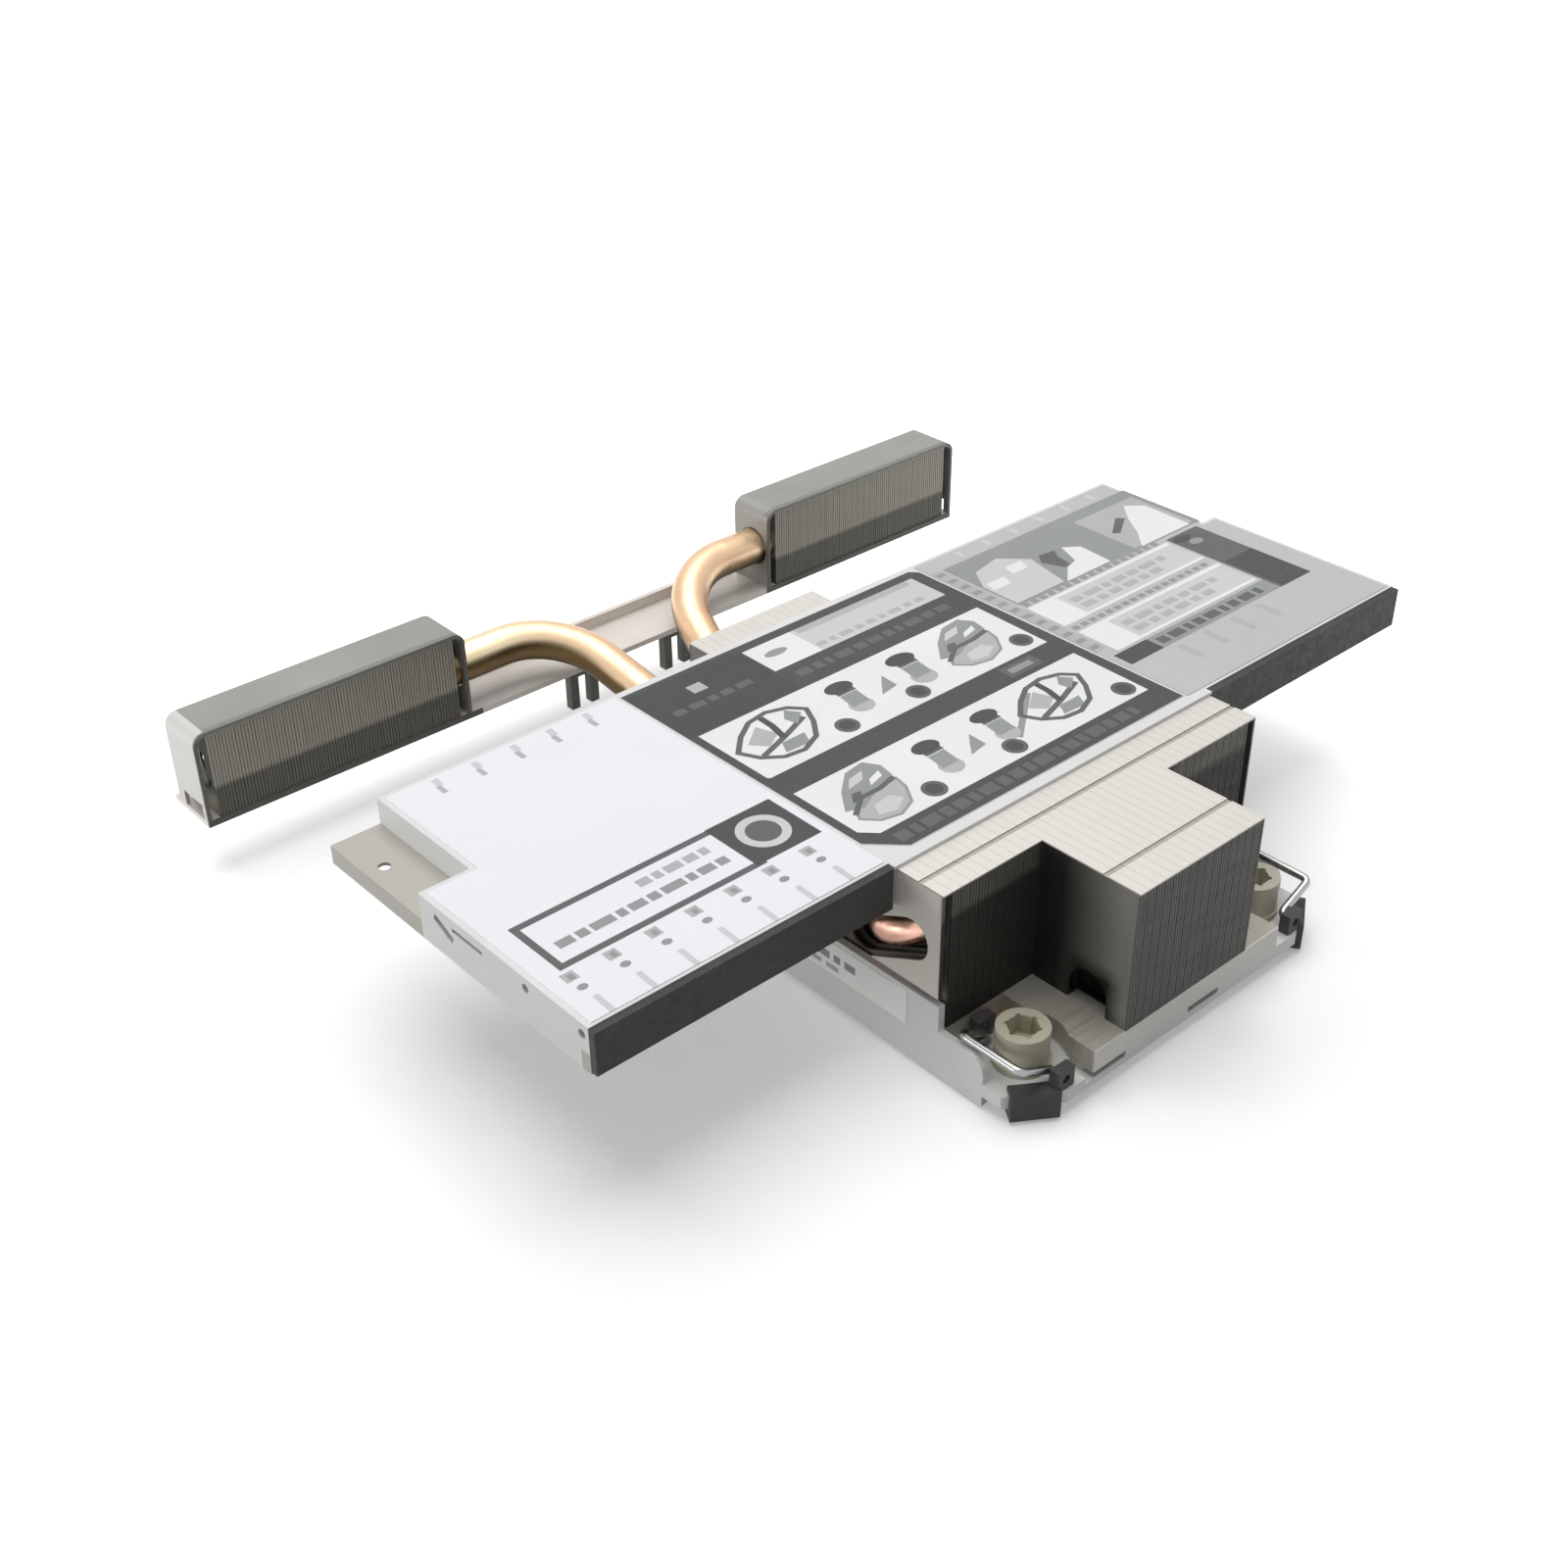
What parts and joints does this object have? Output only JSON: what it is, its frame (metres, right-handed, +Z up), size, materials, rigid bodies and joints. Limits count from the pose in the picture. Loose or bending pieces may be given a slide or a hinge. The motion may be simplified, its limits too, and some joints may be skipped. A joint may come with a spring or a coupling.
{
  "type": "low server heatsink",
  "caption": "Low processor heatsink with upright fins, a wide sheet cover over both sides and two remote fin stacks fed by bent heat pipes.",
  "frame": {"origin": "centre of the processor contact face, on the underside of the cold plate", "axes": "+Z up, away from the processor; +X along the wide cover; +Y along the airflow, to the remote fin stacks"},
  "size_m": [0.1965, 0.1618, 0.0371],
  "materials": {
    "copper_plate": "machined copper, satin",
    "base_metal": "satin",
    "frame_metal": "satin cast",
    "fin_metal": "thin rolled sheet",
    "pipe_copper": "drawn copper tube",
    "fin_dark": "thin rolled sheet, shaded",
    "shell_metal": "satin",
    "dark_clip": "moulded",
    "cover_white": "smooth white paint",
    "strip_black": "matt",
    "label_grey": "printed film",
    "label_white": "printed film",
    "label_cream": "printed film",
    "clip_black": "moulded",
    "nut_plastic": "moulded",
    "steel": "plated",
    "wire": "drawn wire"
  },
  "bodies": {
    "block": {"cold_plate": "copper_plate", "base_plate": "base_metal", "frame": "frame_metal", "main_fins": "fin_metal", "long_pipe_left": "pipe_copper", "long_pipe_right": "pipe_copper", "loop_pipe_left": "pipe_copper", "loop_pipe_right": "pipe_copper", "remote_fins_left": "fin_dark", "remote_fins_right": "fin_dark", "remote_shell_left": "shell_metal", "remote_shell_right": "shell_metal", "rear_bar": "shell_metal", "bar_feet": "dark_clip", "cover_plate": "cover_white", "skirt_left": "strip_black", "skirt_right": "strip_black", "label_middle": "label_grey", "label_left": "label_white", "label_right": "label_grey", "side_label": "label_cream", "retainers": "clip_black"},
    "nut_body_front_left": {"nut_front_left": "nut_plastic", "sleeve_front_left": "steel", "ring_front_left": "steel"},
    "bail_body_front_left": {"bail_front_left": "wire"},
    "nut_body_front_right": {"nut_front_right": "nut_plastic", "sleeve_front_right": "steel", "ring_front_right": "steel"},
    "bail_body_front_right": {"bail_front_right": "wire"},
    "nut_body_back_left": {"nut_back_left": "nut_plastic", "sleeve_back_left": "steel", "ring_back_left": "steel"},
    "bail_body_back_left": {"bail_back_left": "wire"},
    "nut_body_back_right": {"nut_back_right": "nut_plastic", "sleeve_back_right": "steel", "ring_back_right": "steel"},
    "bail_body_back_right": {"bail_back_right": "wire"}
  },
  "joints": [
    {"name": "nut_turn_front_left", "type": "hinge", "parent": "block", "child": "nut_body_front_left", "pos_m": [-0.03, -0.044, 0.006], "axis": [0, 0, 1], "continuous": true},
    {"name": "bail_swing_front_left", "type": "hinge", "parent": "block", "child": "bail_body_front_left", "pos_m": [-0.03, -0.044, 0.007], "axis": [0, 1, 0], "range_deg": [0, 126]},
    {"name": "nut_turn_front_right", "type": "hinge", "parent": "block", "child": "nut_body_front_right", "pos_m": [0.03, -0.044, 0.006], "axis": [0, 0, 1], "continuous": true},
    {"name": "bail_swing_front_right", "type": "hinge", "parent": "block", "child": "bail_body_front_right", "pos_m": [0.03, -0.044, 0.007], "axis": [0, -1, 0], "range_deg": [0, 126]},
    {"name": "nut_turn_back_left", "type": "hinge", "parent": "block", "child": "nut_body_back_left", "pos_m": [-0.03, 0.044, 0.006], "axis": [0, 0, 1], "continuous": true},
    {"name": "bail_swing_back_left", "type": "hinge", "parent": "block", "child": "bail_body_back_left", "pos_m": [-0.03, 0.044, 0.007], "axis": [0, 1, 0], "range_deg": [0, 126]},
    {"name": "nut_turn_back_right", "type": "hinge", "parent": "block", "child": "nut_body_back_right", "pos_m": [0.03, 0.044, 0.006], "axis": [0, 0, 1], "continuous": true},
    {"name": "bail_swing_back_right", "type": "hinge", "parent": "block", "child": "bail_body_back_right", "pos_m": [0.03, 0.044, 0.007], "axis": [0, -1, 0], "range_deg": [0, 126]}
  ]
}
